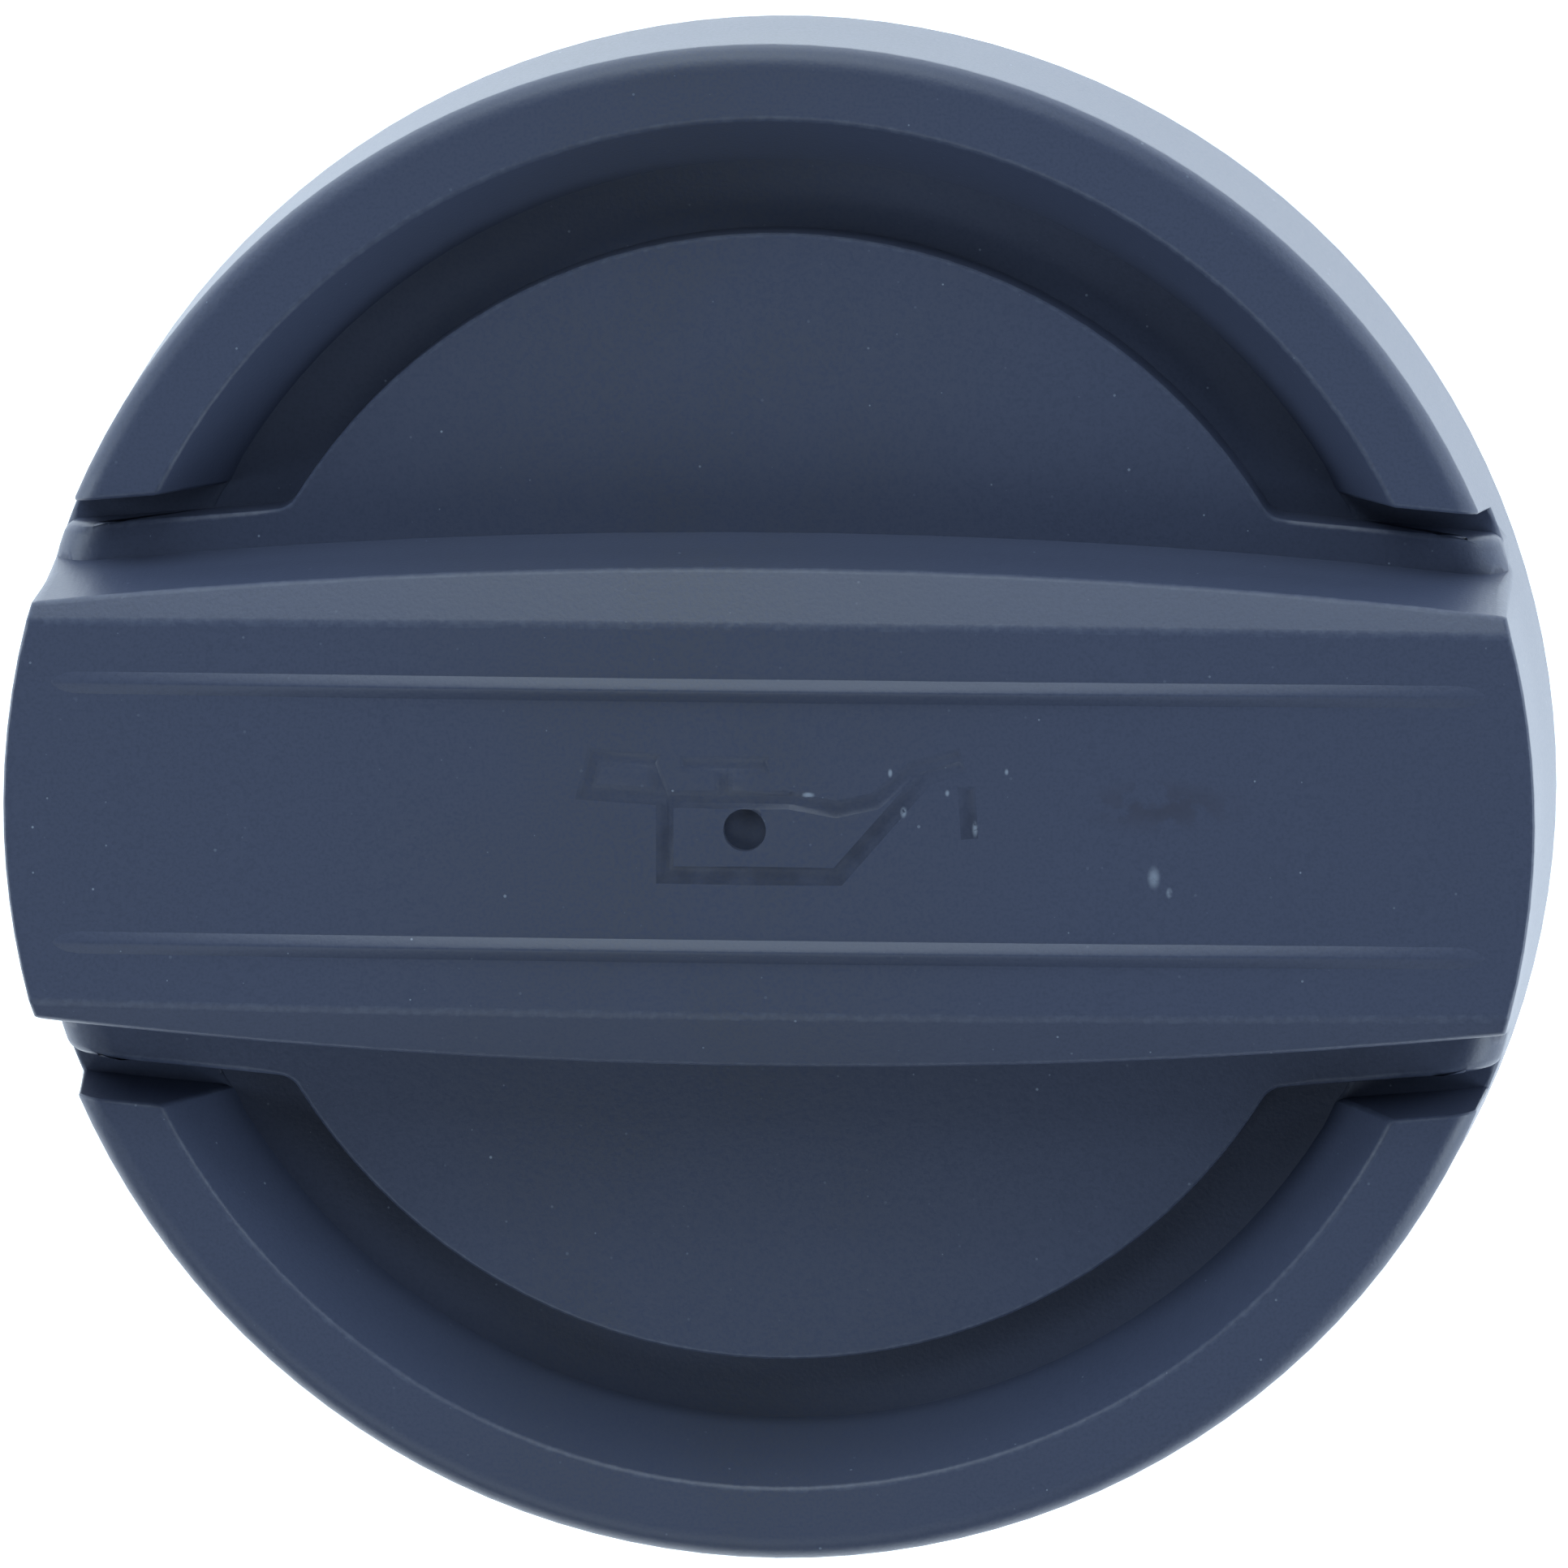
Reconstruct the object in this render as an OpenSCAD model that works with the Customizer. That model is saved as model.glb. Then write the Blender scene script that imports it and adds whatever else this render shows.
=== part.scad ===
// Oil filler cap with a raised grip bar and a quarter-turn bayonet stem.
// The bar lies along X, +Z is up, and the cap stands on the flat end of its stem at z = 0.

/* [Cap] */
// Outside diameter of the cap at its rim
cap_d = 70; // [64:1:80]
// Height of the side wall, from its foot to the rim
skirt_h = 10.5; // [10:0.5:16]
// Width by which the side wall leans outwards from the rim to its foot
skirt_flare = 0.3; // [0:0.05:0.5]
// Thickness of the moulding's walls
wall = 2.0; // [1.6:0.1:2.3]
// Rounding of the outer top edges
edge_round = 1.2; // [0.6:0.1:1.6]

/* [Rim and moat] */
// Width of the rim's flat crest
rim_w = 3.4; // [2.8:0.1:4]
// Width of the rim's sloping inner face, seen from above
rim_slope_w = 2.4; // [1:0.1:3]
// Radius of the round plateau in the middle
plate_r = 26.1; // [25.7:0.1:27]
// Depth of the plateau below the rim
plate_drop = 2.8; // [2:0.1:3.4]
// Depth of the moat's floor below the rim
moat_drop = 5.2; // [4.4:0.1:5.4]

/* [Open ends of the rim] */
// Half width of the plateau's arms where they reach the side wall
arm_half_w = 12.1; // [11.6:0.1:13]
// Width of the trench between an arm and the end of the rim
trench_w = 1.05; // [0.6:0.05:1.6]
// Angle by which the arms and the rim's ends narrow outwards
end_tilt = 5; // [2:0.5:7]
// Lean of the rim's end faces
end_draft = 4; // [1:1:8]
// Rounding of the inner corners between plateau and arms
corner_r = 1.2; // [0.6:0.1:2]
// Rounding of the arms' outer ends
arm_round = 2.2; // [1:0.1:2.2]

/* [Grip bar] */
// Height of the bar's top over the rim, at mid length
bar_rise = 4.4; // [3.5:0.1:7]
// Width of the bar's flat top
bar_top_w = 18; // [15:0.5:19]
// Width of the bar's foot on the plateau, at mid length
bar_foot_w = 24.6; // [23:0.1:25]
// Lean of the bar's long sides
bar_draft = 8; // [4:0.5:10]
// Radius in which the bar's long sides bow outwards
bar_bow_r = 310; // [260:10:600]
// Slope of the chamfers along the bar's top
chamfer_angle = 27.5; // [20:0.5:32]
// Radius in which the chamfers bow outwards
chamfer_bow_r = 415; // [330:5:800]
// Fall of the bar's top from mid length to its ends
bar_arch = 0.65; // [0.3:0.05:1.2]

/* [Beads on the bar] */
// Distance of each bead from the bar's middle line
bead_y = 6; // [4:0.1:7]
// Width of a bead at its foot
bead_w = 0.95; // [0.6:0.05:1.4]
// Height of a bead at mid length
bead_h = 0.32; // [0.15:0.01:0.6]
// Height of a bead where it ends
bead_end_h = 0.05; // [0.03:0.01:0.1]
// Distance between a bead's end and the bar's end
bead_end = 1.9; // [1:0.1:6]

/* [Gate mark] */
// Diameter of the round dimple in the bar's top
gate_d = 1.95; // [1:0.05:3]
// Depth of the dimple
gate_depth = 0.6; // [0.3:0.1:1]
// Place of the dimple along the bar
gate_x = -0.95; // [-4:0.05:4]
// Place of the dimple across the bar
gate_y = -0.4; // [-2:0.05:2]

/* [Stem] */
// Bore of the filler neck that the stem fits
neck_bore = 37; // [36:0.1:38]
// Gap between the stem and the neck's bore, on each side
stem_clear = 0.3; // [0.15:0.05:0.6]
// Length of the stem from the seat to its flat end
stem_len = 15.2; // [14.5:0.1:22]
// Depth by which the side wall covers the neck below the seat
skirt_cover = 1.7; // [0.5:0.1:3]

/* [Seal] */
// Thickness of the round sealing ring
seal_d = 3.5; // [3:0.1:3.8]
// Squeeze of the ring between groove and neck
seal_squeeze = 0.6; // [0.3:0.05:0.9]
// Gap between the ring and the groove's floor
seal_gap = 0.05; // [0.02:0.01:0.15]
// Gap between the ring and each side of the groove
seal_side_gap = 0.45; // [0.2:0.05:0.6]
// Height of the land between the seat and the groove
seal_land = 1.6; // [1.2:0.1:2.2]

/* [Bayonet] */
// Number of lugs
lug_count = 2; // [2:1:3]
// Reach of a lug beyond the stem
lug_reach = 2.8; // [2:0.1:3.2]
// Angle that a lug spans
lug_angle = 48; // [30:1:60]
// Height of a lug's underside over the stem's end
lug_lift = 1.6; // [1:0.1:2]
// Thickness of a lug at its stop
lug_h = 3.8; // [3:0.1:4]
// Slope of a lug's pull-down ramp
ramp_angle = 4; // [1:0.5:6]
// Height of the stop over the lug
stop_h = 1.4; // [0.8:0.1:1.8]
// Angle that the stop spans
stop_angle = 7; // [4:1:12]

/* [Underside] */
// Gap between the lugs' reach and the seat ring, seen from below
seat_gap = 0.3; // [0.2:0.1:0.6]
// Width of the seat ring's flat edge
seat_w = 1.8; // [1.4:0.1:2.2]
// Width of the groove that cores out the rim from below
core_w = 1.8; // [1.2:0.1:2.2]
// Number of places for stiffening ribs round the stem
rib_places = 12; // [8:4:16]
// Thickness of a stiffening rib
rib_t = 1.5; // [1:0.1:2]
// Height of the ribs' lower edges over the seat
rib_set_back = 0.4; // [0.2:0.1:0.8]
// Bevel at the foot of the side wall and the end of the stem
foot_bevel = 0.4; // [0.2:0.1:0.6]

/* [Hidden] */
$fn = 180;

// Resolution of the long, nearly straight curves of the bar
LONG_FN = 720;
// Number of steps in the outline of a small rounding
ROUND_STEPS = 8;
// Length by which a cutting shape passes the surface that it cuts
PASS = 1;
// Overlap of shapes that join, below a joint's surface
SINK = 0.3;
// Width by which a rounding starts outside the side wall, so that the two meet at a clear angle
ROUND_OUT = 0.06;

cap_r = cap_d / 2;
rim_in_r = cap_r - rim_w;
moat_out_r = rim_in_r - rim_slope_w;
skirt_in_r = cap_r - wall;

seat_z = stem_len;
foot_z = seat_z - skirt_cover;
rim_z = foot_z + skirt_h;
plate_z = rim_z - plate_drop;
moat_z = rim_z - moat_drop;
bar_z = rim_z + bar_rise;
deck_z = moat_z - wall;

stem_r = neck_bore / 2 - stem_clear;
groove_r = neck_bore / 2 + seal_squeeze - seal_d;
stem_in_r = groove_r - wall;
groove_w = seal_d + 2 * seal_side_gap;
groove_top_z = seat_z - seal_land;
seal_z = groove_top_z - groove_w / 2;

lug_r = stem_r + lug_reach;
seat_in_r = lug_r + seat_gap;
seat_out_r = seat_in_r + seat_w;

// Radius of the side wall at height z: it leans up to the rim's rounding and stands upright above it
lean_top_z = rim_z - edge_round;
function wall_r(z) = cap_r + skirt_flare * max(0, lean_top_z - z) / (lean_top_z - foot_z);

// Radius of an arc that falls by a drop at a distance x from its middle
function arc_r(x, drop) = (x * x + drop * drop) / (2 * drop);

// The bar's top is part of a large cylinder whose axis lies along Y
arch_r = arc_r(cap_r, bar_arch);
bar_wide = bar_foot_w / 2 + wall;

// A bead's section is a circle that stands out of the bar's top by the bead's height,
// and its own arc is tighter than the top's, so that it runs out towards its ends
bead_r = arc_r(bead_w / 2, bead_h);
bead_x = cap_r - bead_end;
bead_arch_r = arc_r(bead_x, arch_r - sqrt(arch_r * arch_r - bead_x * bead_x) + bead_h - bead_end_h);

// The arms' rounding is limited by their height over the moat
arm_round_r = min(arm_round, plate_z - moat_z);

// Half width of an arm at a distance x from the middle, and of the rim's opening there
function arm_y(x) = arm_half_w + (cap_r - x) * tan(end_tilt);
function rim_end_y(x) = arm_y(x) + trench_w;

// Centre of the rounding between the plateau's circle and an arm's edge
corner_k = arm_y(0) + corner_r / cos(end_tilt);
corner_s = tan(end_tilt);
corner_q = 1 + corner_s * corner_s;
corner_c = corner_k * corner_k - pow(plate_r + corner_r, 2);
corner_root = sqrt(pow(corner_s * corner_k, 2) - corner_q * corner_c);
corner_x = (corner_s * corner_k + corner_root) / corner_q;
corner_y = corner_k - corner_s * corner_x;
// Direction from that centre to the plateau's circle, and to the arm's edge
corner_from = 180 + atan2(corner_y, corner_x);
corner_to = 270 - end_tilt;

// Copies a shape to all four quarters
module quarters() {
    for (sx = [0, 1]) {
        for (sy = [0, 1]) {
            mirror([sx, 0, 0]) mirror([0, sy, 0]) children();
        }
    }
}

// Outline of a ring with a flat top at height z and a rounding of its outer edge, from foot to top.
// Its foot stands outside the side wall, to which wall_space cuts it.
function ring_outside(z, round_r) = concat(
    [[cap_r + PASS, moat_z - SINK]],
    [
        for (i = [0 : ROUND_STEPS])
            let (a = 90 * i / ROUND_STEPS, mid_r = wall_r(z - round_r) + ROUND_OUT - round_r)
                [mid_r + round_r * cos(a), z - round_r + round_r * sin(a)]
    ]
);

// Turns a shape that was revolved about Z so that its axis lies along Y, as an arch with its top at height z
module lay_arch(r, z) {
    angle = 2 * asin((cap_r + PASS) / r);
    translate([0, 0, z - r])
        rotate(a = -120, v = [1, 1, 1])
            rotate([0, 0, -angle / 2])
                rotate_extrude(angle = angle, $fn = LONG_FN) children();
}

// The inside of a large cone: at mid length its surface passes y = edge_y at height z, bows in a radius
// and leans in from upright
module bowed_side(edge_y, z, bow_r, lean, inset) {
    low_z = -PASS;
    high_z = bar_z + PASS;
    mid_r = bow_r - inset / cos(lean);
    translate([0, edge_y - bow_r, low_z])
        cylinder(
            h = high_z - low_z,
            r1 = mid_r + (z - low_z) * tan(lean),
            r2 = mid_r - (high_z - z) * tan(lean),
            $fn = LONG_FN
        );
}

// One long side of the bar with its chamfer
module long_side(inset) {
    intersection() {
        bowed_side(bar_foot_w / 2, plate_z, bar_bow_r, bar_draft, inset);
        bowed_side(bar_top_w / 2, bar_z, chamfer_bow_r, 90 - chamfer_angle, inset);
    }
}

// The form that the side wall and the bar's ends enclose, or with an inset the hollow inside it
module wall_space(inset, low_z) {
    high_z = bar_z + PASS;
    rotate_extrude()
        polygon([
            [0, low_z],
            [wall_r(low_z) - inset - foot_bevel, low_z],
            [wall_r(low_z + foot_bevel) - inset, low_z + foot_bevel],
            [cap_r - inset, lean_top_z],
            [cap_r - inset, high_z],
            [0, high_z],
        ]);
}

// The bar, or with an inset the hollow inside it, before wall_space gives it its ends
module bar_form(inset, low_z) {
    arch_low_r = arch_r - (bar_z - low_z);
    intersection() {
        long_side(inset);
        mirror([0, 1, 0]) long_side(inset);
        translate([0, 0, low_z]) cylinder(r = cap_r + PASS, h = bar_z + PASS - low_z);
        lay_arch(arch_r, bar_z)
            translate([arch_low_r, -bar_wide]) square([arch_r - inset - arch_low_r, 2 * bar_wide]);
    }
}

// The two thin beads that run along the bar's top
module beads() {
    intersection() {
        translate([0, 0, plate_z]) cylinder(r = bead_x, h = bar_z + PASS - plate_z);
        for (side = [-1, 1]) {
            lay_arch(bead_arch_r, bar_z + bead_h)
                translate([bead_arch_r - bead_r, side * bead_y]) circle(r = bead_r, $fn = 48);
        }
    }
}

// The raised rim, before its two open ends are cut
module rim_ring() {
    rotate_extrude()
        polygon(concat(
            [[moat_out_r - SINK, moat_z - SINK]],
            ring_outside(rim_z, edge_round),
            [[rim_in_r, rim_z], [moat_out_r, moat_z], [moat_out_r - SINK, moat_z]]
        ));
}

// What opens the rim beside the bar: its faces are the end faces of the two crescents
module rim_opening() {
    face_x = (rim_in_r + cap_r) / 2;
    quarters()
        translate([face_x, rim_end_y(face_x), moat_z])
            rotate([0, 0, -end_tilt])
                rotate([-end_draft, 0, 0])
                    translate([-cap_r / 2, -cap_r / 2, 0])
                        cube([cap_r, cap_r / 2, moat_drop + PASS * 2]);
}

// Outline of the plateau: a circle with two pairs of arms that reach the side wall
module plateau_outline() {
    circle(r = plate_r);
    reach = cap_r + PASS;
    polygon([
        [0, arm_y(0)],
        [reach, arm_y(reach)],
        [reach, -arm_y(reach)],
        [0, -arm_y(0)],
        [-reach, -arm_y(reach)],
        [-reach, arm_y(reach)],
    ]);
    quarters()
        polygon([
            [corner_x, corner_y - 2 * corner_r],
            for (i = [0 : ROUND_STEPS])
                let (a = corner_from + (corner_to - corner_from) * i / ROUND_STEPS)
                    [corner_x + corner_r * cos(a), corner_y + corner_r * sin(a)],
        ]);
}

// The top of the cap as one closed form, before it is hollowed
module top_form() {
    intersection() {
        wall_space(0, foot_z);
        union() {
            translate([0, 0, foot_z - PASS]) cylinder(r = cap_r + PASS, h = moat_z - foot_z + PASS);
            difference() {
                rim_ring();
                rim_opening();
            }
            intersection() {
                rotate_extrude()
                    polygon(concat([[0, moat_z - SINK]], ring_outside(plate_z, arm_round_r), [[0, plate_z]]));
                translate([0, 0, moat_z - SINK])
                    linear_extrude(height = plate_drop + moat_drop) plateau_outline();
            }
            bar_form(0, deck_z);
            beads();
        }
    }
}

// The hollow under the top: every wall keeps the moulding's thickness
module hollow() {
    low_z = foot_z - PASS;
    intersection() {
        wall_space(wall, low_z);
        union() {
            translate([0, 0, low_z]) cylinder(r = cap_r + PASS, h = deck_z - low_z);
            translate([0, 0, low_z]) cylinder(r = plate_r - wall, h = plate_z - wall - low_z);
            bar_form(wall, low_z);
            rim_core();
        }
    }
}

// The tapered groove that cores out the thick rim from below
module rim_core() {
    core_z = rim_z - wall - edge_round;
    half_gap = rim_end_y(rim_in_r) + wall;
    difference() {
        rotate_extrude()
            polygon([
                [skirt_in_r - core_w, deck_z - SINK],
                [cap_r + PASS, deck_z - SINK],
                [cap_r + PASS, core_z],
                [skirt_in_r - core_w / 2, core_z],
            ]);
        translate([-cap_r - 2 * PASS, -half_gap, foot_z]) cube([cap_d + 4 * PASS, 2 * half_gap, skirt_h]);
    }
}

// Walls that stand inside the hollow: the stem's root, the seat ring and the ribs
module inner_walls() {
    high_z = bar_z + PASS;
    translate([0, 0, foot_z - 2 * PASS]) cylinder(r = stem_r, h = high_z - foot_z + 2 * PASS);
    difference() {
        translate([0, 0, seat_z]) cylinder(r = seat_out_r, h = high_z - seat_z);
        translate([0, 0, seat_z - PASS]) cylinder(r = seat_in_r, h = high_z - seat_z + 2 * PASS);
    }
    for (i = [0 : rib_places - 1]) {
        along_bar = i == 0 || 2 * i == rib_places;
        if (!along_bar) {
            rotate([0, 0, i * 360 / rib_places])
                translate([stem_in_r + wall / 2, -rib_t / 2, seat_z + rib_set_back])
                    cube([cap_r - stem_in_r - wall, rib_t, high_z - seat_z]);
        }
    }
    // A cross rib in each outer half of the bar's hollow
    for (side = [-1, 1]) {
        translate([side * (seat_out_r + skirt_in_r) / 2 - rib_t / 2, -bar_foot_w / 2, seat_z + rib_set_back])
            cube([rib_t, bar_foot_w, high_z - seat_z]);
    }
}

// One bayonet lug with its ramp and stop, centred on +X
module lug() {
    root_r = stem_r - wall / 2;
    bevel = 2 * foot_bevel;
    high_z = lug_lift + lug_h + stop_h;
    difference() {
        rotate([0, 0, -lug_angle / 2])
            rotate_extrude(angle = lug_angle)
                polygon([
                    [root_r, lug_lift],
                    [lug_r - bevel, lug_lift],
                    [lug_r, lug_lift + bevel],
                    [lug_r, high_z],
                    [root_r, high_z],
                ]);
        // The ramp falls away from the stop towards the lug's leading end
        rotate([0, 0, lug_angle / 2 - stop_angle])
            translate([0, 0, lug_lift + lug_h])
                rotate([ramp_angle, 0, 0])
                    translate([0, -cap_r, 0]) cube([cap_r, cap_r, lug_h]);
    }
}

// The hollow stem with its seal groove
module stem() {
    rotate_extrude()
        difference() {
            polygon([
                [stem_in_r, 0],
                [stem_r - foot_bevel, 0],
                [stem_r, foot_bevel],
                [stem_r, deck_z],
                [stem_in_r, deck_z],
            ]);
            translate([groove_r, seal_z - groove_w / 2]) square([seal_d, groove_w]);
        }
    for (i = [0 : lug_count - 1]) {
        rotate([0, 0, i * 360 / lug_count]) lug();
    }
}

module cap_body() {
    color([0.24, 0.28, 0.37])
        difference() {
            union() {
                difference() {
                    top_form();
                    difference() {
                        hollow();
                        inner_walls();
                    }
                }
                stem();
            }
            // The stem's bore opens into the hollow of the bar
            translate([0, 0, -PASS]) cylinder(r = stem_in_r, h = plate_z - wall + PASS);
            intersection() {
                translate([0, 0, -PASS]) cylinder(r = stem_in_r, h = bar_z + PASS);
                bar_form(wall, -PASS);
            }
            translate([gate_x, gate_y, bar_z - gate_depth])
                cylinder(d = gate_d, h = gate_depth + PASS, $fn = 48);
        }
}

module sealing_ring() {
    color([0.08, 0.08, 0.09])
        translate([0, 0, seal_z])
            rotate_extrude()
                translate([groove_r + seal_gap + seal_d / 2, 0]) circle(d = seal_d, $fn = 64);
}

cap_body();
sealing_ring();
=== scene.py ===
"""Looks of the oil filler cap: moulded surface, sealing ring, plain studio and the photograph's view."""

import logging
import math
from dataclasses import dataclass, field
from enum import Enum
from typing import ClassVar, Sequence

import bmesh
import bpy
from mathutils import Matrix, Vector
from mathutils.bvhtree import BVHTree


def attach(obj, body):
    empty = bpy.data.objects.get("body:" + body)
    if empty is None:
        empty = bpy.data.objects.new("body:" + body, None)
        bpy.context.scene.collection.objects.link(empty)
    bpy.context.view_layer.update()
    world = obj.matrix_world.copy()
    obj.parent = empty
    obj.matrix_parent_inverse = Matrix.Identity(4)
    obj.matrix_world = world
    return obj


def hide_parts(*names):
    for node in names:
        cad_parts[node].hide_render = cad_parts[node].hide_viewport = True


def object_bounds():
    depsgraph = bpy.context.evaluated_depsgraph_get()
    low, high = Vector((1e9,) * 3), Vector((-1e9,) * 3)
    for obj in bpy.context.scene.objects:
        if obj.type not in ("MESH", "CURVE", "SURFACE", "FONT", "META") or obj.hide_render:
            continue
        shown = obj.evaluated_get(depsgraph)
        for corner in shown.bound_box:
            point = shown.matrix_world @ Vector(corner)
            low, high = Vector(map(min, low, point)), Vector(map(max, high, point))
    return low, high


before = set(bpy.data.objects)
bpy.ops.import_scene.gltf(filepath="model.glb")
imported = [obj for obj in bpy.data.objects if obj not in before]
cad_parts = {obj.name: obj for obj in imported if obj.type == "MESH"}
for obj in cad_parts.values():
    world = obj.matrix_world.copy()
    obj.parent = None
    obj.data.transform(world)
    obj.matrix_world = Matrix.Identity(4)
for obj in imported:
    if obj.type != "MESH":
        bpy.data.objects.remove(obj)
CAD_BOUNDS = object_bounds()
CAD_TOP = CAD_BOUNDS[1][2]

LOG = logging.getLogger("oil_filler_cap")
MM = 0.001
BODY = "root"
Colour = tuple[float, float, float]
Pair = tuple[float, float]


class Ray(Enum):
    """Kinds of rays that see the floor's own glow."""

    CAMERA = "Is Camera Ray"
    GLOSSY = "Is Glossy Ray"
    TRANSMISSION = "Is Transmission Ray"


class NodeGraph:
    """A material's node tree, with short calls for the nodes that the finishes share."""

    # Places of a Mix node's colour sockets, whose names its other kinds of sockets share
    MIX_FIRST: ClassVar[int] = 6
    MIX_SECOND: ClassVar[int] = 7
    MIX_RESULT: ClassVar[int] = 2

    def __init__(self, name: str) -> None:
        """Starts an empty tree with an output node.

        Args:
            name: The material's name.
        """
        self.material = bpy.data.materials.new(name)
        self.material.use_nodes = True
        self.tree = self.material.node_tree
        self.tree.nodes.clear()
        self.output = self.tree.nodes.new("ShaderNodeOutputMaterial")

    def node(self, kind: str, **settings: object) -> bpy.types.Node:
        """Adds a node.

        Args:
            kind: The node's type, without its ShaderNode prefix.
            **settings: Properties to set on it.

        Returns:
            The new node.
        """
        made = self.tree.nodes.new("ShaderNode" + kind)
        for key, value in settings.items():
            setattr(made, key, value)
        return made

    def link(self, source: object, target: object) -> None:
        """Joins two sockets, or writes a plain value into the target.

        Args:
            source: A socket or a plain value.
            target: The socket that gets it.
        """
        if isinstance(source, bpy.types.NodeSocket):
            self.tree.links.new(source, target)
        else:
            target.default_value = source

    def math(self, operation: str, *values: object) -> bpy.types.NodeSocket:
        """Adds a Math node.

        Args:
            operation: The node's operation.
            *values: Sockets or numbers for its inputs.

        Returns:
            The result's socket.
        """
        made = self.node("Math", operation=operation)
        for socket, value in zip(made.inputs, values):
            self.link(value, socket)
        return made.outputs[0]

    def place(self) -> bpy.types.NodeSocket:
        """Returns the point in the part's own frame, in metres."""
        return self.node("TexCoord").outputs["Object"]

    def noise(
        self, size: float, detail: float = 2.0, stretch: Sequence[float] = (1, 1, 1)
    ) -> bpy.types.NodeSocket:
        """Adds a noise texture.

        Args:
            size: Size of its blotches in metres.
            detail: Octaves of finer noise.
            stretch: Factors that lengthen the blotches along X, Y and Z.

        Returns:
            The noise's value, about 0.5 on average.
        """
        mapping = self.node("Mapping")
        self.link(self.place(), mapping.inputs["Vector"])
        mapping.inputs["Scale"].default_value = [1 / part for part in stretch]
        made = self.node("TexNoise")
        self.link(mapping.outputs[0], made.inputs["Vector"])
        made.inputs["Scale"].default_value = 1 / size
        made.inputs["Detail"].default_value = detail
        return made.outputs[0]

    def ramp(self, value: object, low: float, high: float) -> bpy.types.NodeSocket:
        """Maps a value smoothly to 0 at one end and 1 at the other.

        Args:
            value: The socket to map.
            low: The value that becomes 0.
            high: The value that becomes 1.

        Returns:
            The mapped value.
        """
        made = self.node("MapRange", interpolation_type="SMOOTHSTEP")
        self.link(value, made.inputs["Value"])
        made.inputs["From Min"].default_value = low
        made.inputs["From Max"].default_value = high
        return made.outputs[0]

    def spread(self, share: object, none: float, full: float) -> bpy.types.NodeSocket:
        """Maps a share evenly to a range.

        Args:
            share: The share, from 0 to 1.
            none: The value at a share of 0.
            full: The value at a share of 1.

        Returns:
            The mapped value.
        """
        return self.math("MULTIPLY_ADD", share, full - none, none)

    def tint(self, amount: object, base: object, other: object) -> bpy.types.NodeSocket:
        """Mixes two colours.

        Args:
            amount: Share of the second colour.
            base: The first colour.
            other: The second colour.

        Returns:
            The mixed colour.
        """
        made = self.node("Mix", data_type="RGBA")
        self.link(amount, made.inputs[0])
        for place, colour in ((self.MIX_FIRST, base), (self.MIX_SECOND, other)):
            value = colour if isinstance(colour, bpy.types.NodeSocket) else (*colour, 1)
            self.link(value, made.inputs[place])
        return made.outputs[self.MIX_RESULT]

    def bump(self, height: object, depth: float, under: object = None) -> bpy.types.NodeSocket:
        """Adds a Bump node.

        Args:
            height: The height, from 0 to 1.
            depth: Real depth of that range in metres.
            under: A bump that this one lies on.

        Returns:
            The bumped normal.
        """
        made = self.node("Bump")
        made.inputs["Strength"].default_value = 1
        made.inputs["Distance"].default_value = depth
        self.link(height, made.inputs["Height"])
        if under is not None:
            self.link(under, made.inputs["Normal"])
        return made.outputs[0]


@dataclass(frozen=True)
class Mottle:
    """A blotchy pattern: its size, its finer octaves, and the noise at which it starts and is full."""

    size: float
    detail: float
    start: float
    full: float

    def share(self, graph: NodeGraph) -> bpy.types.NodeSocket:
        """Builds the pattern's share, from 0 to 1."""
        return graph.ramp(graph.noise(self.size, self.detail), self.start, self.full)


@dataclass(frozen=True)
class Blemish:
    """A mark on the top of the bar: an oval patch with soft, broken borders."""

    x: float
    y: float
    half_x: float
    half_y: float
    grain: float = 0.2 * MM
    cut: Pair = (0.25, 0.45)
    detail: float = 3
    half_z: float = 1 * MM
    core: float = 0.3

    def share(self, graph: NodeGraph) -> bpy.types.NodeSocket:
        """Builds the patch.

        Args:
            graph: The graph to add to.

        Returns:
            Its share, from 0 to 1.
        """
        mapping = graph.node("Mapping", vector_type="TEXTURE")
        graph.link(graph.place(), mapping.inputs["Vector"])
        mapping.inputs["Location"].default_value = (self.x, self.y, CAD_TOP)
        mapping.inputs["Scale"].default_value = (self.half_x, self.half_y, self.half_z)
        length = graph.node("VectorMath", operation="LENGTH")
        graph.link(mapping.outputs[0], length.inputs[0])
        inside = graph.ramp(length.outputs["Value"], 1.0, self.core)
        return graph.math("MULTIPLY", inside, Mottle(self.grain, self.detail, *self.cut).share(graph))


@dataclass(frozen=True)
class Specks:
    """Round dust specks, one in each cell of a fine pattern, most of them too small to see."""

    pitch: float = 0.7 * MM
    radius: float = 0.12
    radius_power: float = 2
    border: float = 0.03
    paleness: Pair = (0.06, 0.46)
    pale_power: float = 4

    def share(self, graph: NodeGraph) -> bpy.types.NodeSocket:
        """Builds the specks, whose radius and border are shares of the pitch.

        Args:
            graph: The graph to add to.

        Returns:
            Their share, from 0 to 1.
        """
        cells = graph.node("TexVoronoi")
        graph.link(graph.place(), cells.inputs["Vector"])
        cells.inputs["Scale"].default_value = 1 / self.pitch
        chances = graph.node("SeparateColor")
        graph.link(cells.outputs["Color"], chances.inputs[0])
        small = graph.math("POWER", chances.outputs[0], self.radius_power)
        radius = graph.math("MULTIPLY", small, self.radius)
        inside = graph.math("SUBTRACT", radius, cells.outputs["Distance"])
        pale = graph.spread(graph.math("POWER", chances.outputs[1], self.pale_power), *self.paleness)
        return graph.math("MULTIPLY", graph.ramp(inside, 0.0, self.border), pale)


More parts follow.
